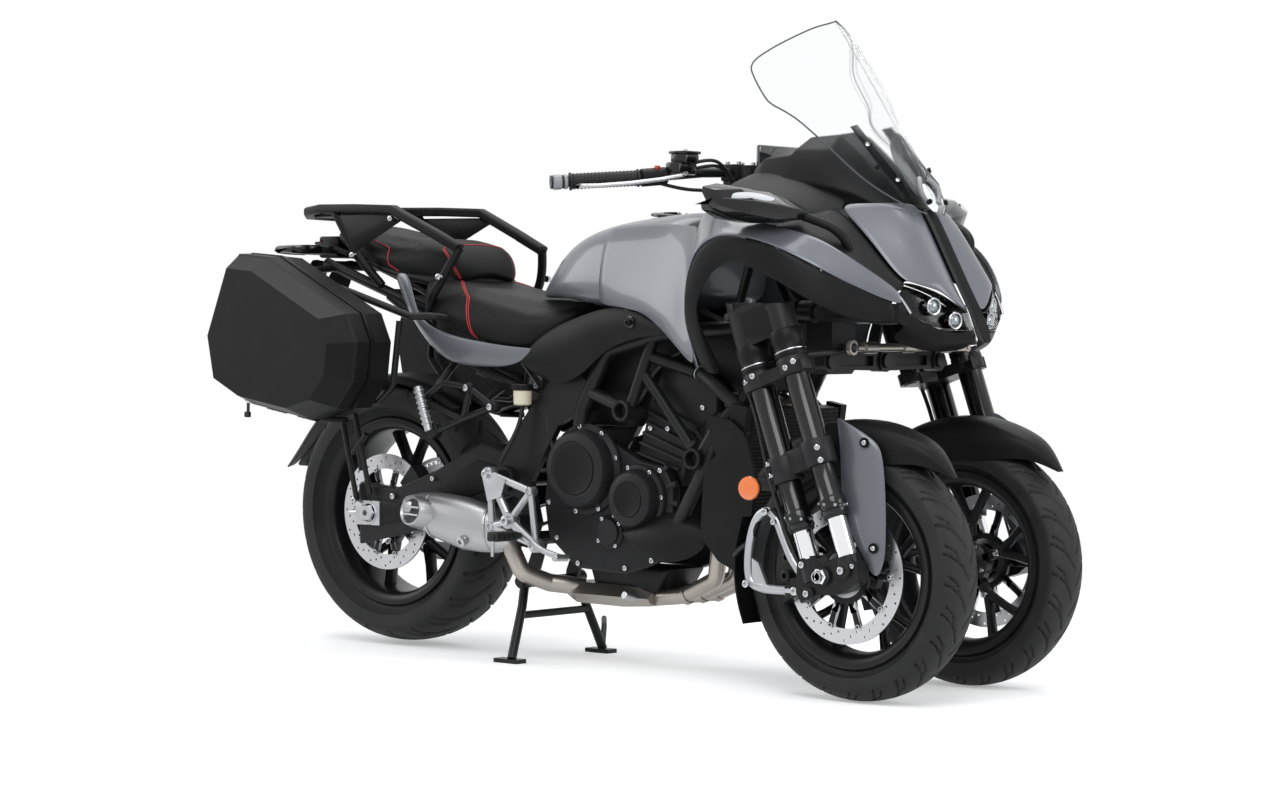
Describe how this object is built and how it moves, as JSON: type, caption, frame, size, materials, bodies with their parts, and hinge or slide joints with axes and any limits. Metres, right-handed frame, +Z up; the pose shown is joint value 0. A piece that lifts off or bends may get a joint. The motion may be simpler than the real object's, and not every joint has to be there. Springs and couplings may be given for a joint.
{
  "type": "leaning three-wheel motorcycle",
  "caption": "Touring motorcycle with two leaning, steering front wheels on a tilting linkage, one driven rear wheel, tall screen and hard panniers.",
  "frame": {"origin": "on the floor under the middle of the overall length, on the centre plane", "axes": "+X forward, +Y to the rider's left, +Z up"},
  "size_m": [2.1946, 0.88, 1.464],
  "materials": {
    "body_paint": "gloss cool grey",
    "satin_black": "satin",
    "gloss_black": "gloss",
    "black_metal": "satin black paint",
    "cast_black": "black engine paint",
    "silver_metal": "satin",
    "disc_steel": "ground",
    "header_steel": "heat tinted",
    "stanchion_chrome": "bright",
    "tyre_rubber": "matt",
    "soft_rubber": "matt",
    "seat_cover": "grained",
    "screen_clear": "clear",
    "lamp_lens": "clear over black",
    "mirror_shell": "satin with a mirror face"
  },
  "bodies": {
    "chassis": {"main_frame": "black_metal", "rear_subframe": "black_metal", "engine": "cast_black", "engine_covers": "cast_black", "radiator": "satin_black", "side_covers": "satin_black", "exhaust_headers": "header_steel", "silencer": "header_steel", "fuel_tank": "body_paint", "side_cowls": "body_paint", "front_panels": "body_paint", "fairing_trim": "satin_black", "headlight_unit": "lamp_lens", "dash_cover": "satin_black", "windscreen": "screen_clear", "mirrors": "mirror_shell", "rider_seat": "seat_cover", "pillion_seat": "seat_cover", "tail_panels": "body_paint", "grab_rail": "satin_black", "tail_light": "lamp_lens", "swingarm": "black_metal", "rear_shock": "black_metal", "rear_hugger": "satin_black", "drive_chain": "disc_steel", "footrests": "silver_metal", "left_pannier_case": "satin_black", "right_pannier_case": "satin_black"},
    "upper_arm": {"upper_tilt_arm": "black_metal"},
    "lower_arm": {"lower_tilt_arm": "black_metal"},
    "left_knuckle": {"left_knuckle": "black_metal"},
    "right_knuckle": {"right_knuckle": "black_metal"},
    "left_fork": {"left_fork": "black_metal", "left_stanchions": "stanchion_chrome", "left_axle_bracket": "black_metal", "left_mudguard": "satin_black", "left_brake_hose": "soft_rubber"},
    "right_fork": {"right_fork": "black_metal", "right_stanchions": "stanchion_chrome", "right_axle_bracket": "black_metal", "right_mudguard": "satin_black", "right_brake_hose": "soft_rubber"},
    "left_front_wheel": {"left_front_tyre": "tyre_rubber", "left_front_rim": "black_metal", "left_front_disc": "disc_steel"},
    "right_front_wheel": {"right_front_tyre": "tyre_rubber", "right_front_rim": "black_metal", "right_front_disc": "disc_steel"},
    "rear_wheel": {"rear_tyre": "tyre_rubber", "rear_rim": "black_metal", "rear_disc": "disc_steel", "rear_sprocket": "disc_steel"},
    "tie_rod": {"tie_rod": "header_steel"},
    "tie_rod_swivel": {"tie_rod_swivel": "header_steel"},
    "handlebar": {"handlebar": "black_metal", "hand_controls": "soft_rubber"},
    "centre_stand": {"centre_stand": "black_metal"},
    "side_stand": {"side_stand": "black_metal"},
    "left_pannier_lid": {"left_pannier_lid": "satin_black"},
    "right_pannier_lid": {"right_pannier_lid": "satin_black"}
  },
  "joints": [
    {"name": "lean", "type": "hinge", "parent": "chassis", "child": "upper_arm", "pos_m": [0.672, 0, 0.827], "axis": [1, 0, 0], "range_deg": [-45, 45]},
    {"name": "lower_arm_tilt", "type": "hinge", "parent": "chassis", "child": "lower_arm", "pos_m": [0.714, 0, 0.722], "axis": [1, 0, 0], "range_deg": [-46, 46]},
    {"name": "left_knuckle_tilt", "type": "hinge", "parent": "upper_arm", "child": "left_knuckle", "pos_m": [0.672, 0.205, 0.827], "axis": [1, 0, 0], "range_deg": [-46, 46]},
    {"name": "right_knuckle_tilt", "type": "hinge", "parent": "upper_arm", "child": "right_knuckle", "pos_m": [0.672, -0.205, 0.827], "axis": [1, 0, 0], "range_deg": [-46, 46]},
    {"name": "steer", "type": "hinge", "parent": "chassis", "child": "handlebar", "pos_m": [0.322, 0, 1.13], "axis": [-0.342, 0, 0.9397], "range_deg": [-32, 32]},
    {"name": "left_fork_steer", "type": "hinge", "parent": "left_knuckle", "child": "left_fork", "pos_m": [0.896, 0.205, 0], "axis": [-0.342, 0, 0.9397], "range_deg": [-33, 33]},
    {"name": "right_fork_steer", "type": "hinge", "parent": "right_knuckle", "child": "right_fork", "pos_m": [0.896, -0.205, 0], "axis": [-0.342, 0, 0.9397], "range_deg": [-33, 33]},
    {"name": "tie_rod_turn", "type": "hinge", "parent": "left_fork", "child": "tie_rod_swivel", "pos_m": [0.788, 0.205, 0.752], "axis": [-0.342, 0, 0.9397], "range_deg": [-33, 33]},
    {"name": "tie_rod_tilt", "type": "hinge", "parent": "tie_rod_swivel", "child": "tie_rod", "pos_m": [0.788, 0.205, 0.752], "axis": [1, 0, 0], "range_deg": [-46, 46]},
    {"name": "left_front_wheel_spin", "type": "hinge", "parent": "left_fork", "child": "left_front_wheel", "pos_m": [0.822, 0.205, 0.2745], "axis": [0, 1, 0], "continuous": true},
    {"name": "right_front_wheel_spin", "type": "hinge", "parent": "right_fork", "child": "right_front_wheel", "pos_m": [0.822, -0.205, 0.2745], "axis": [0, 1, 0], "continuous": true},
    {"name": "rear_wheel_spin", "type": "hinge", "parent": "chassis", "child": "rear_wheel", "pos_m": [-0.688, 0, 0.3285], "axis": [0, 1, 0], "continuous": true},
    {"name": "centre_stand_fold", "type": "hinge", "parent": "chassis", "child": "centre_stand", "pos_m": [-0.233, 0, 0.186], "axis": [0, 1, 0], "range_deg": [0, 96]},
    {"name": "side_stand_fold", "type": "hinge", "parent": "chassis", "child": "side_stand", "pos_m": [-0.078, 0.146, 0.205], "axis": [-0.111, -0.8719, -0.4769], "range_deg": [0, 106]},
    {"name": "left_pannier_lid_hinge", "type": "hinge", "parent": "chassis", "child": "left_pannier_lid", "pos_m": [-0.68, 0.331, 0.556], "axis": [-0.9877, 0, 0.1561], "range_deg": [0, 75]},
    {"name": "right_pannier_lid_hinge", "type": "hinge", "parent": "chassis", "child": "right_pannier_lid", "pos_m": [-0.68, -0.331, 0.556], "axis": [0.9877, 0, -0.1561], "range_deg": [0, 75]}
  ],
  "couplings": [
    {"joint": "lower_arm_tilt", "follows": "lean", "ratio": 1},
    {"joint": "left_knuckle_tilt", "follows": "lean", "ratio": -1},
    {"joint": "right_knuckle_tilt", "follows": "lean", "ratio": -1},
    {"joint": "left_fork_steer", "follows": "steer", "ratio": 1},
    {"joint": "right_fork_steer", "follows": "steer", "ratio": 1},
    {"joint": "tie_rod_turn", "follows": "steer", "ratio": -1},
    {"joint": "tie_rod_tilt", "follows": "lean", "ratio": 1}
  ]
}
